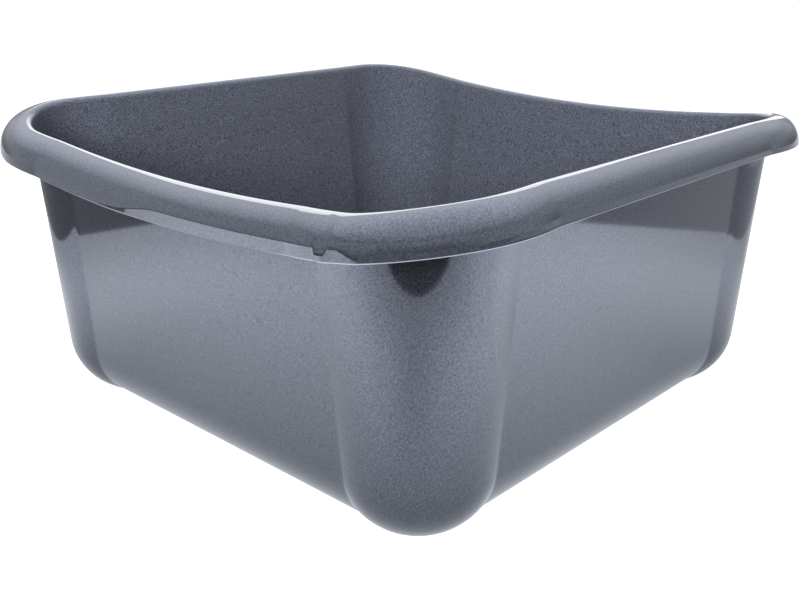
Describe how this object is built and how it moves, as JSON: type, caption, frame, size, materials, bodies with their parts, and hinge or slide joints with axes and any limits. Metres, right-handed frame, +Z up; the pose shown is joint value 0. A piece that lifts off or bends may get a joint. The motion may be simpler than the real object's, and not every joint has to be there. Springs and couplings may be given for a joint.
{
  "type": "square bowl",
  "caption": "Square open bowl with rounded corner columns, set-back panels and a rolled rim that dips on two sides, moulded in one piece.",
  "frame": {"origin": "middle of the base, on the surface that the bowl stands on", "axes": "+Z up; the walls face +X, -X, +Y and -Y, and the rim dips along the +Y and -Y sides"},
  "size_m": [0.32, 0.32, 0.1515],
  "materials": {
    "silver_plastic": "glossy moulded polypropylene, silver grey with a fine metallic flake"
  },
  "bodies": {
    "root": {"bowl": "silver_plastic"}
  },
  "joints": []
}
